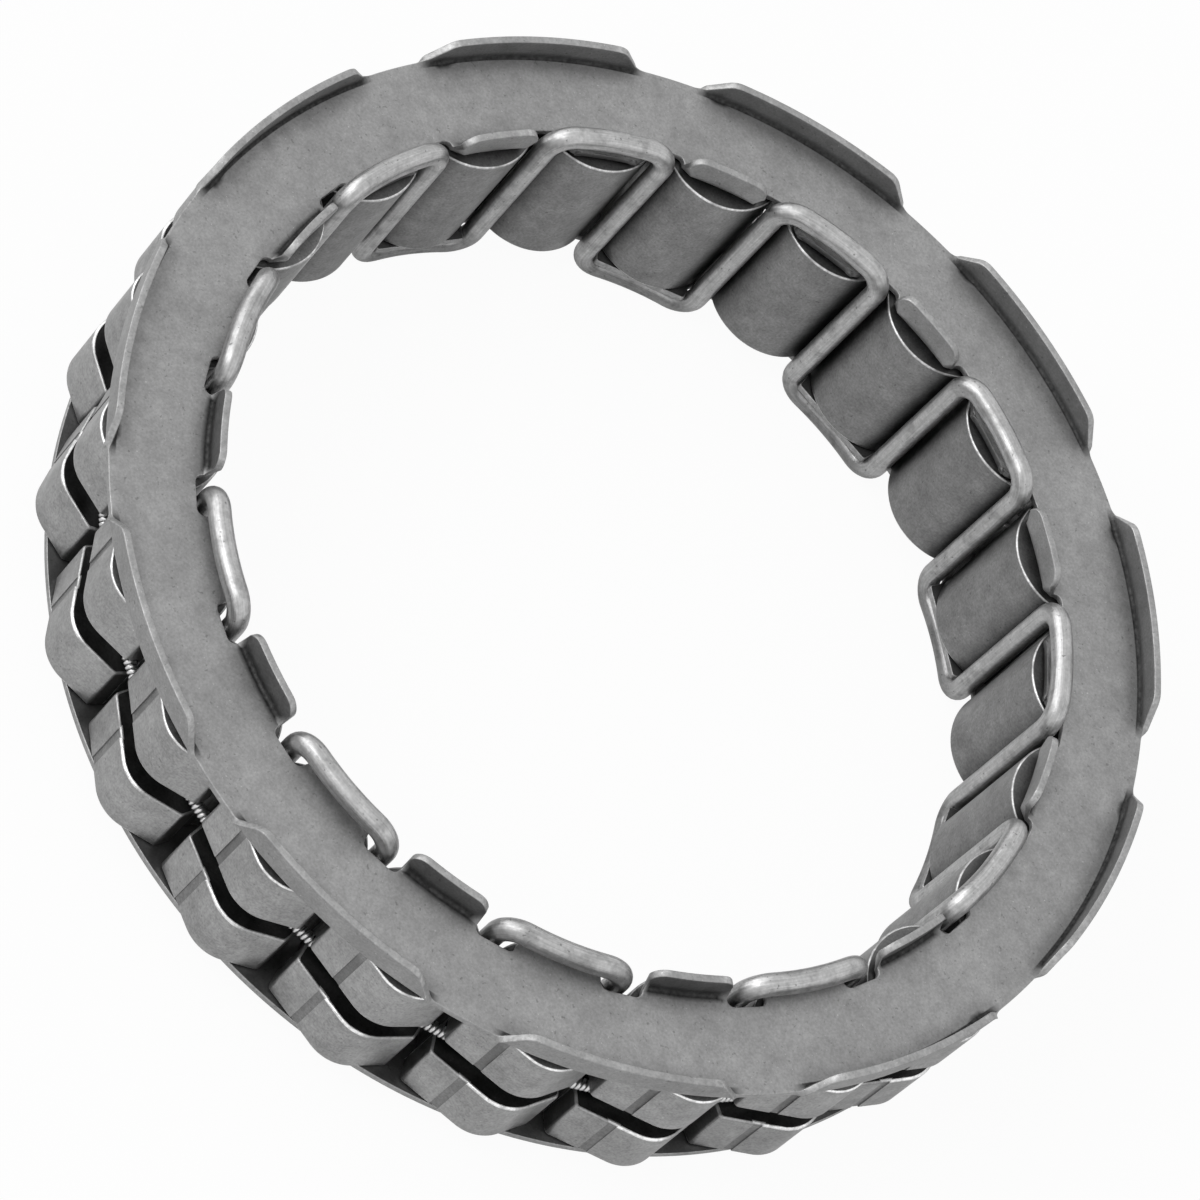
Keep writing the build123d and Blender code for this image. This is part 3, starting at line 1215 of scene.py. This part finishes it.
@dataclass
class RetainingWire(CagePiece):
    """Round wire bent to a closed square wave that holds the plates together."""

    name: str = "bent_retaining_wire"
    node: str = "retaining_wire"
    slot: str = "wire_steel"
    bend_radius: float = 1.6 * MM
    plate_clearance: float = 0.3 * MM
    crossing_bow: float = 0.1 * MM
    end_gap: float = 0.4 * MM
    bend_steps: int = 10
    crossing_steps: int = 14
    leg_steps: int = 4
    sides: int = 24

    def crossing(self, share: float, level: float, way: int) -> Vector:
        """Point of a loop on +X, by its share of the way from leg to leg.

        Args:
            share: From 0 at the first leg to 1 at the second one.
            level: Height of the middle of the loop.
            way: +1 for a front loop, -1 for a rear one.

        Returns:
            The point in the frame of the clutch.
        """
        side, near = polar(self.common.wire_leg_radius, self.common.pitch / 2)[::-1]
        top = self.common.wire_leg_radius + self.crossing_bow
        bow = top - near
        curve = (side**2 + bow**2) / (2 * bow)
        spread = math.asin(side / curve)
        turn = spread * (2 * share - 1)
        past = min(share, 1 - share) * 2 * spread * curve
        left = max(0.0, self.bend_radius - past)
        drop = self.bend_radius - math.sqrt(max(0.0, self.bend_radius**2 - left**2))
        return Vector((top - curve + curve * math.cos(turn), curve * math.sin(turn),
                       level - way * drop))

    def loop(self, way: int) -> list[Vector]:
        """Draw one loop on +X.

        Args:
            way: +1 for a front loop, -1 for a rear one.

        Returns:
            Its points, from the middle of one leg to that of the other.
        """
        sizes = self.common
        lift = self.plate_clearance + sizes.wire_diameter / 2
        level = sizes.front_outer_face + lift if way > 0 else sizes.rear_outer_face - lift
        bend = self.bend_radius / (2 * sizes.wire_leg_radius * math.sin(sizes.pitch / 2))
        first = [bend * (1 - math.cos(math.pi / 2 * k / self.bend_steps))
                 for k in range(self.bend_steps)]
        middle = [bend + (1 - 2 * bend) * k / self.crossing_steps
                  for k in range(self.crossing_steps + 1)]
        shares = first + middle + [1 - s for s in reversed(first)]
        loop = [self.crossing(share, level, way) for share in shares]
        low, steps = loop[0].z, self.leg_steps
        legs = [(sizes.middle_height - low) * k / steps + low for k in range(steps, 0, -1)]
        return ([Vector((*loop[0].xy, z)) for z in legs] + loop
                + [Vector((*loop[-1].xy, z)) for z in reversed(legs)])

    def start(self) -> Mesh:
        """Draw the centre line of the whole wire, from one end to the other.

        Returns:
            A mesh of edges.
        """
        points: list[Vector] = []
        for index in range(self.common.sprag_count):
            turn = Matrix.Rotation(self.common.pitch * index, 3, "Z")
            points += [turn @ p for p in self.loop(1 if index % 2 else -1)][:-1]
        gap = self.end_gap / 2
        start = next(k for k, p in enumerate(points) if p.y > gap)
        points = points[start:] + points[:start]
        ends = [Vector((points[0].x, y, points[0].z)) for y in (gap, -gap)]
        inside = [p for p in points if not (p.x > 0 and abs(p.y) <= gap)]
        return path_mesh(self.name, [ends[0], *inside, ends[1]], closed=False)

    def growth(self) -> dict[str, Any]:
        """Sizes of the round bar."""
        return {"Radius": self.common.wire_diameter / 2, "Sides": self.sides}


# ---------------------------------------------------------------- garter spring


@dataclass
class GarterSpring(CagePiece):
    """Close-wound coil spring that runs in the slots of all the sprags."""

    name: str = "coiled_garter_spring"
    node: str = "garter_spring"
    slot: str = "spring_steel"
    ring_radius: float = 35.0625 * MM
    coil_diameter: float = 0.9 * MM
    wire_diameter: float = 0.3 * MM
    coil_pitch: float = 0.33 * MM
    steps_per_turn: int = 9
    wire_sides: int = 5
    path_steps: int = 24
    bend_angle: float = math.radians(1.3)

    def radius(self, angle: float) -> float:
        """Radius of the coils' centre line: straight between sprags, eased over each one.

        Args:
            angle: Angle about the clutch axis.

        Returns:
            The mean radius of the straight runs close to that angle.
        """
        pitch = self.common.pitch
        flat = self.ring_radius * math.cos(pitch / 2)
        near = [(angle + shift * self.bend_angle) % pitch for shift in (-1, -0.5, 0, 0.5, 1)]
        return sum(flat / math.cos(a - pitch / 2) for a in near) / len(near)

    def path(self) -> list[Vector]:
        """Draw the coils' centre line.

        Returns:
            Its points, once round the clutch.
        """
        count = self.common.sprag_count * self.path_steps
        angles = [2 * math.pi * k / count for k in range(count)]
        return [Vector((*polar(self.radius(a), a), self.common.middle_height)) for a in angles]

    def start(self) -> Mesh:
        """Centre line of the coils, as a mesh of edges."""
        return path_mesh(self.name, self.path(), closed=True)

    def growth(self) -> dict[str, Any]:
        """Sizes of the coils, with as many turns as the centre line has room for.

        Returns:
            A value for each named input of the geometry tree.
        """
        points = self.path()
        length = sum((a - b).length for a, b in zip(points, points[1:] + points[:1]))
        return {"Turns": round(length / self.coil_pitch), "Steps per turn": self.steps_per_turn,
                "Coil radius": (self.coil_diameter - self.wire_diameter) / 2,
                "Wire radius": self.wire_diameter / 2, "Wire sides": self.wire_sides}

    def shade(self, made: Object) -> None:
        """Give the coils their smooth shading."""
        made.data.shade_smooth()


# ---------------------------------------------------------------- sprags


@dataclass
class Sprags:
    """The ring of sprags, each on its own body, with eased edges."""

    common: ClutchSizes
    outer_cam_radius: float = 3.0 * MM
    outer_cam_offset: float = 0.75 * MM
    inner_cam_half_angle: float = math.radians(65)
    crown_radius: float = 37.3675 * MM
    head_half: float = 4.48 * MM
    head_bottom: float = 34.1125 * MM
    shoulder_round: float = 0.4 * MM
    gentle_angle: float = math.radians(21)
    steep_angle: float = math.radians(39)
    waist_half: float = 3.9 * MM
    crown_steps: int = 14
    waist_steps: int = 8
    foot_steps: int = 34
    groove_half: float = 0.31 * MM
    groove_depth: float = 0.08 * MM
    groove_offset: float = 1.75 * MM
    slot_width: float = 2.0 * MM
    slot_crest: float = 34.4925 * MM
    slot_lead: float = math.radians(10)
    slot_relief: float = math.radians(22)
    end_bevel: float = 0.12 * MM
    lip_bevel: float = 0.18 * MM
    # Painted highlight along the lip of the slot: full near its middle, fading towards its ends.
    lip_half: float = 1.2 * MM
    lip_fade: float = 1.2 * MM
    edge_bevel: float = 0.07 * MM
    bevel_steps: int = 2
    sharp_angle: float = math.radians(28)
    level_angle: float = math.radians(0.5)
    seam: float = 0.001 * MM
    # Painted shade: in the slot, on the end faces under the plates, in the flank groove and on the
    # head's sides between sprags.
    slot_painted_shade: float = 0.86
    groove_painted_shade: float = 0.35
    groove_reach: float = 1.3
    side_painted_shade: float = 0.4
    side_lean: tuple[float, float] = (0.8, 0.95)
    side_lift: float = 2 * MM
    end_painted_shade: float = 0.35
    # Painted shade on the inner cam, deeper at its sides beside the wire legs.
    cam_shade: float = 0.27
    cam_overlap: float = 0.1 * MM
    cam_side_shade: float = 0.5
    side_shade_start: float = 0.32
    side_shade_run: float = 0.45

    @property
    def pivot(self) -> float:
        """Radius of the inner cam's centre about the clutch axis."""
        return self.common.inner_race_radius + self.common.inner_cam_radius

    @property
    def cam_end(self) -> float:
        """Radial place of the two ends of the inner cam."""
        return self.pivot - self.common.inner_cam_radius * math.cos(self.inner_cam_half_angle)

    @property
    def crown_centre(self) -> Point:
        """Centre of the outer cam."""
        arm = self.crown_radius - self.outer_cam_radius
        return math.sqrt(arm**2 - self.outer_cam_offset**2), self.outer_cam_offset

    def waist(self, side: int) -> list[Point]:
        """Hollow side between the head and the inner cam, inner points only.

        Args:
            side: -1 or +1, the side along the row of sprags.

        Returns:
            Points from the head towards the cam.
        """
        top = Vector((self.head_bottom, self.head_half))
        low = Vector((self.cam_end,
                      self.common.inner_cam_radius * math.sin(self.inner_cam_half_angle)))
        ab, ac = Vector(((top.x + low.x) / 2, self.waist_half)) - top, low - top
        across = 2 * (ab.x * ac.y - ab.y * ac.x)
        centre = top + Vector((ac.y * ab.length_squared - ab.y * ac.length_squared,
                               ab.x * ac.length_squared - ac.x * ab.length_squared)) / across
        first, last = (math.atan2(end.y - centre.y, end.x - centre.x) for end in (top, low))
        last = first + (last - first + math.pi) % (2 * math.pi) - math.pi
        points = arc_about(tuple(centre), (top - centre).length, first, last, self.waist_steps)
        return [(x, side * y) for x, y in points[1:-1]]

    def groove_place(self) -> Point:
        """Find the middle of the groove on the gentle flank.

        Returns:
            The point, for the sprag on +X.
        """
        (x, y), (cos, sin) = self.crown_centre, polar(1.0, self.gentle_angle)
        out, along = self.outer_cam_radius, self.groove_offset
        return x + out * cos - along * sin, y - out * sin - along * cos

    def outline(self) -> list[Point]:
        """Closed outline of the sprag on +X, counter-clockwise.

        Returns:
            Its points.
        """
        gentle, steep, low, half = (
            self.gentle_angle, self.steep_angle, self.head_bottom, self.head_half)
        tops = arc_about(self.crown_centre, self.outer_cam_radius, -gentle, steep,
                         self.crown_steps)
        along = Vector((-math.sin(gentle), -math.cos(gentle)))
        out = Vector((math.cos(gentle), -math.sin(gentle)))
        groove = [tuple(Vector(tops[0]) + along * (self.groove_offset + way * self.groove_half)
                        - out * (depth * self.groove_depth))
                  for way, depth in ((1, 0), (1, 1), (-1, 1), (-1, 0))]
        gentle_x = tops[0][0] - (tops[0][1] + half) * math.tan(gentle)
        steep_x = tops[-1][0] - (half - tops[-1][1]) * math.tan(steep)
        first = rounded_chain([((low, -half), 0.0), ((gentle_x, -half), self.shoulder_round),
                               (groove[0], 0.0)])
        last = rounded_chain([(tops[-1], 0.0), ((steep_x, half), self.shoulder_round),
                              ((low, half), 0.0)])
        wide = self.inner_cam_half_angle
        foot = arc_about((self.pivot, 0.0), self.common.inner_cam_radius,
                         math.pi - wide, math.pi + wide, self.foot_steps)
        return [*first, *groove[1:], *tops, *last[1:], *self.waist(1), *foot,
                *reversed(self.waist(-1))]

    def solid(self, outline: list[Point], low: float, high: float, name: str) -> Object:
        """Prism of an outline between two heights.

        Args:
            outline: Closed outline, counter-clockwise.
            low: Height of the bottom.
            high: Height of the top.
            name: Name of the object.

        Returns:
            The closed prism.
        """
        count = len(outline)
        places = [(x, y, z) for z in (low, high) for x, y in outline]
        faces = [list(reversed(range(count))), list(range(count, 2 * count))]
        faces += [[k, (k + 1) % count, (k + 1) % count + count, k + count] for k in range(count)]
        return object_from(name, mesh_from(name, places, faces))

    def slot_cutter(self) -> Object:
        """Block that cuts the slot of the garter spring into the head.

        Returns:
            The block.
        """
        wide, crest, half = 2 * self.head_half, self.slot_crest, self.slot_width / 2
        outside, middle = 2 * self.crown_radius - crest, self.common.middle_height
        outline = [(crest, 0.0), (crest - wide * math.tan(self.slot_relief), -wide),
                   (outside, -wide), (outside, wide),
                   (crest - wide * math.tan(self.slot_lead), wide)]
        return self.solid(outline, middle - half, middle + half, "slot_cutter")

    def pattern(self, finish: Material) -> Mesh:
        """Mesh of the sprag on +X, from which all the others are turned.

        Args:
            finish: Material of the sprags.

        Returns:
            The mesh, with edge wear and a painted highlight on its faces, and painted shade on its
            faces and points.
        """
        sizes = self.common
        made = self.solid(self.outline(), sizes.sprag_bottom, sizes.sprag_top, "sprag_pattern")
        cutter = self.slot_cutter()
        cut = made.modifiers.new("slot", "BOOLEAN")
        cut.object, cut.operation, cut.solver = cutter, "DIFFERENCE", "EXACT"
        keep_evaluated(made)
        bpy.data.objects.remove(cutter)
        self.mark_edges(made.data)
        made.data.materials.clear()
        for _ in range(2):
            made.data.materials.append(finish)
        ease = made.modifiers.new("eased_edges", "BEVEL")
        ease.width, ease.segments, ease.limit_method = self.lip_bevel, self.bevel_steps, "WEIGHT"
        ease.use_clamp_overlap, ease.material = False, 1
        keep_evaluated(made)
        mesh = made.data
        # Edge brightness from wear and a painted highlight; painted shade on the faces and on the
        # inner cam's points.
        carry(mesh, "edge", "FACE", [self.brightness(face) for face in mesh.polygons])
        carry(mesh, "painted_shade", "FACE", [self.painted_shade(mesh, face) for face in mesh.polygons])
        carry(mesh, "shade", "POINT", [self.shade(vertex.co) for vertex in mesh.vertices])
        for face in mesh.polygons:
            face.material_index = 0
        mesh.materials.pop()
        even_shading(made)
        mesh = made.data
        bpy.data.objects.remove(made)
        return mesh

    def brightness(self, face: bpy.types.MeshPolygon) -> float:
        """Say how bright an eased edge is, from wear and a painted highlight; the lip's highlight
        is brightest by its crown.

        Args:
            face: A face of the sprag.

        Returns:
            A number from 0 to 1, and 0 off the eased edges.
        """
        if face.material_index != 1:
            return 0.0
        _, y, z = face.center
        if abs(z - self.common.middle_height) > self.slot_width / 2 + self.lip_bevel:
            return 1.0
        return 1 - smooth_step(max(abs(y) - self.lip_half, 0.0) / self.lip_fade)

    def shade(self, place: Vector) -> float:
        """Say how much painted shade the inner cam gets; its two sides, beside the wire legs, get
        more.

        Args:
            place: A point of the sprag.

        Returns:
            A number from 0 to 1, and 0 off the inner cam.
        """
        if place.x > self.cam_end + self.cam_overlap:
            return 0.0
        turn = math.atan2(abs(place.y), self.pivot - place.x) / self.inner_cam_half_angle
        return self.cam_shade + self.cam_side_shade * smooth_step(
            (turn - self.side_shade_start) / self.side_shade_run)

    def painted_shade(self, mesh: Mesh, face: bpy.types.MeshPolygon) -> float:
        """Say how much painted shade a face gets: in the slot, on the ends under the plates, in
        the flank groove and on the sides of the head.

        Args:
            mesh: Mesh of the sprag.
            face: The face.

        Returns:
            A number from 0 to 1.
        """
        if face.material_index == 1:
            return 0.0
        middle, reach = self.common.middle_height, self.slot_width / 2 + TOUCH
        if all(abs(mesh.vertices[v].co.z - middle) < reach for v in face.vertices):
            return self.slot_painted_shade
        if abs(face.normal.z) > 0.9:
            return self.end_painted_shade
        x, y, _ = face.center
        if (x > self.head_bottom and abs(y) < self.head_half - self.shoulder_round
                and math.dist((x, y), self.groove_place()) < self.groove_half):
            return self.groove_painted_shade
        low, high = self.side_lean
        side = smooth_step((abs(face.normal.y) - low) / (high - low))
        return self.side_painted_shade * side * float(x > self.common.wire_leg_radius + self.side_lift)

    def bevel(self, edge: bmesh.types.BMEdge) -> float:
        """Say how wide an edge is eased: widest along the lip of the slot.

        Args:
            edge: An edge of the sprag.

        Returns:
            The width, 0 for none.
        """
        sizes = self.common
        if len(edge.link_faces) != 2 or edge.calc_face_angle_signed(0) < self.sharp_angle:
            return 0.0
        ends = [v.co for v in edge.verts]
        lip = sizes.middle_height - self.slot_width / 2
        for width, height in ((self.end_bevel, sizes.sprag_bottom), (self.lip_bevel, lip),
                              (self.end_bevel, sizes.sprag_top)):
            if all(abs(end.z - height) < TOUCH for end in ends):
                return width
        gap = ((ends[0] + ends[1]) / 2).to_2d() - Vector(self.groove_place())
        return 0.0 if gap.length < self.groove_reach * self.groove_half else self.edge_bevel

    def mark_edges(self, mesh: Mesh) -> None:
        """Clean the mesh of the sprag and give its edges the weights of their bevels.

        Args:
            mesh: The mesh.
        """
        work = bmesh.new()
        work.from_mesh(mesh)
        bmesh.ops.remove_doubles(work, verts=work.verts, dist=self.seam)
        bmesh.ops.dissolve_limit(work, angle_limit=self.level_angle, verts=work.verts,
                                 edges=work.edges)
        weight = work.edges.layers.float.new("bevel_weight_edge")
        for edge in work.edges:
            edge[weight] = self.bevel(edge) / self.lip_bevel
        work.to_mesh(mesh)
        work.free()

    def build(self, finish: Material) -> list[Object]:
        """Build all the sprags and put each one on its own body.

        Args:
            finish: Material of the sprags.

        Returns:
            The finished sprags in order.
        """
        pattern = self.pattern(finish)
        made = []
        for index in range(self.common.sprag_count):
            node = f"sprag_{index + 1:02d}"
            mesh = pattern.copy()
            mesh.transform(Matrix.Rotation(self.common.pitch * index, 4, "Z"))
            made.append(object_from(f"ground_{node}", mesh))
            fit_out(made[-1], node, node)
        bpy.data.meshes.remove(pattern)
        return made


# ---------------------------------------------------------------- studio


@dataclass(frozen=True)
class Softbox:
    """One large soft lamp, placed by directions of the view."""

    name: str
    right: float
    up: float
    near: float
    size: float
    power: float
    distance: float = 0.9


@dataclass
class Studio:
    """Camera, lamps, floor and surroundings."""

    eye: tuple[float, float, float] = (0.05346, -0.23496, 0.32824)
    forward: tuple[float, float, float] = (-0.1333, 0.5861, -0.79916)
    right: tuple[float, float, float] = (0.5530, 0.7131, 0.43083)
    focal_length: float = 184.1
    sensor: float = 36.0
    sight: tuple[float, float] = (0.01, 50.0)
    world_light: float = 0.55
    floor_size: float = 8.0
    floor_gap: float = 0.01 * MM
    floor_tone: float = 0.86
    floor_glow: float = 0.95
    floor_mirrored: float = 0.4
    lamps: tuple[Softbox, ...] = (
        Softbox("key", right=-0.45, up=0.8, near=0.45, size=1.0, power=3.5),
        Softbox("near", right=-0.3, up=0.42, near=0.9, size=0.4, power=1.5),
        Softbox("fill", right=0.9, up=-0.3, near=0.6, size=0.6, power=0.2),
        Softbox("low", right=-0.7, up=-0.8, near=0.35, size=0.5, power=0.5),
    )

    def axes(self) -> tuple[Vector, Vector, Vector]:
        """Set the directions of the view at right angles to each other.

        Returns:
            Right, up and forward.
        """
        forward = Vector(self.forward).normalized()
        right = (Vector(self.right) - forward * Vector(self.right).dot(forward)).normalized()
        return right, right.cross(forward), forward

    def set_camera(self) -> None:
        """Make the camera of the scene."""
        right, up, forward = self.axes()
        data = bpy.data.cameras.new("camera")
        data.lens, data.sensor_width = self.focal_length, self.sensor
        data.clip_start, data.clip_end = self.sight
        camera = object_from("camera", data)
        turn = Matrix((right, up, -forward)).transposed().to_4x4()
        camera.matrix_world = Matrix.Translation(Vector(self.eye)) @ turn
        bpy.context.scene.camera = camera

    def hang_lamps(self, target: Vector) -> None:
        """Hang every soft lamp so that it faces the object.

        Args:
            target: The point that the lamps face.
        """
        right, up, forward = self.axes()
        for lamp in self.lamps:
            way = (right * lamp.right + up * lamp.up - forward * lamp.near).normalized()
            data = bpy.data.lights.new(lamp.name, "AREA")
            data.shape, data.size, data.energy = "DISK", lamp.size, lamp.power
            light = object_from(lamp.name, data)
            light.location = target + way * lamp.distance
            light.rotation_mode = "QUATERNION"
            light.rotation_quaternion = (-way).to_track_quat("-Z", "Y")

    def whiten(self, make: NodeBuilder, plain: Node, white: str, end: str,
               mirrored: float, share: float) -> None:
        """Mix a plain look with a white one, which is what the camera sees of it.

        Args:
            make: Builder of the tree.
            plain: Node that gives the light the object gets.
            white: Kind of the node that gives the white look.
            end: Name of the node that ends the tree.
            mirrored: Share of white for rays that see it in a reflection.
            share: Share of white for rays from the camera, and of all the others.
        """
        rays = make.add("ShaderNodeLightPath").outputs
        seen = rays["Is Camera Ray"]
        for kind in ("Is Glossy Ray", "Is Transmission Ray"):
            seen = make.calc("MAXIMUM", seen, make.times(rays[kind], mirrored))
        mix = make.out("ShaderNodeMixShader", {
            0: make.times(seen, share), 1: plain.outputs[0],
            2: make.out(white, {"Color": WHITE, "Strength": 1.0})})
        make.put(make.tree.nodes[end], {0: mix})

    def fill_world(self) -> None:
        """Give the surroundings an even pale light and a white look."""
        world = bpy.data.worlds.new("surroundings")
        bpy.context.scene.world = world
        world.use_nodes = True
        make = NodeBuilder(world.node_tree)
        light = make.tree.nodes["Background"]
        make.put(light, {"Color": WHITE, "Strength": self.world_light})
        self.whiten(make, light, "ShaderNodeBackground", "World Output", mirrored=1.0, share=1.0)

    def lay_floor(self, level: float) -> None:
        """Lay a pale floor under the object, white to the eye but for its shadow.

        Args:
            level: Height of the floor.
        """
        half, tone = self.floor_size / 2, self.floor_tone
        corners = [(x * half, y * half, level) for x, y in ((-1, -1), (1, -1), (1, 1), (-1, 1))]
        floor = object_from("floor", mesh_from("floor", corners, [[0, 1, 2, 3]]))
        make = MaterialBuilder("pale_floor")
        make.put(make.shader, {
            "Base Color": (tone, tone, tone, 1.0), "Roughness": 1.0, "Specular IOR Level": 0.0})
        self.whiten(make, make.shader, "ShaderNodeEmission", "Material Output",
                    self.floor_mirrored, self.floor_glow)
        floor.data.materials.append(make.material)

    def build(self) -> None:
        """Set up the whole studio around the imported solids."""
        low, high = CAD_BOX
        self.set_camera()
        self.hang_lamps((low + high) / 2)
        self.fill_world()
        self.lay_floor(low.z - self.floor_gap)
        bpy.context.scene.view_settings.view_transform = "Standard"


# ---------------------------------------------------------------- the clutch


def main() -> None:
    """Build every sub-assembly in order, dress it and set up the studio."""
    logging.basicConfig(level=logging.INFO, format="%(name)s: %(message)s")
    sizes = ClutchSizes()
    plate_steel, ring = PLATE_FINISH.build(), ring_tree()
    for plate in (FrontPlate(sizes), RearPlate(sizes)):
        plate.build(ring, plate_steel)
    RetainingWire(sizes).build(bar_tree(), WIRE_FINISH.build())
    GarterSpring(sizes).build(coil_tree(), SPRING_FINISH.build())
    Sprags(sizes).build(SPRAG_FINISH.build())
    Studio().build()


if __name__ == "__main__":
    main()
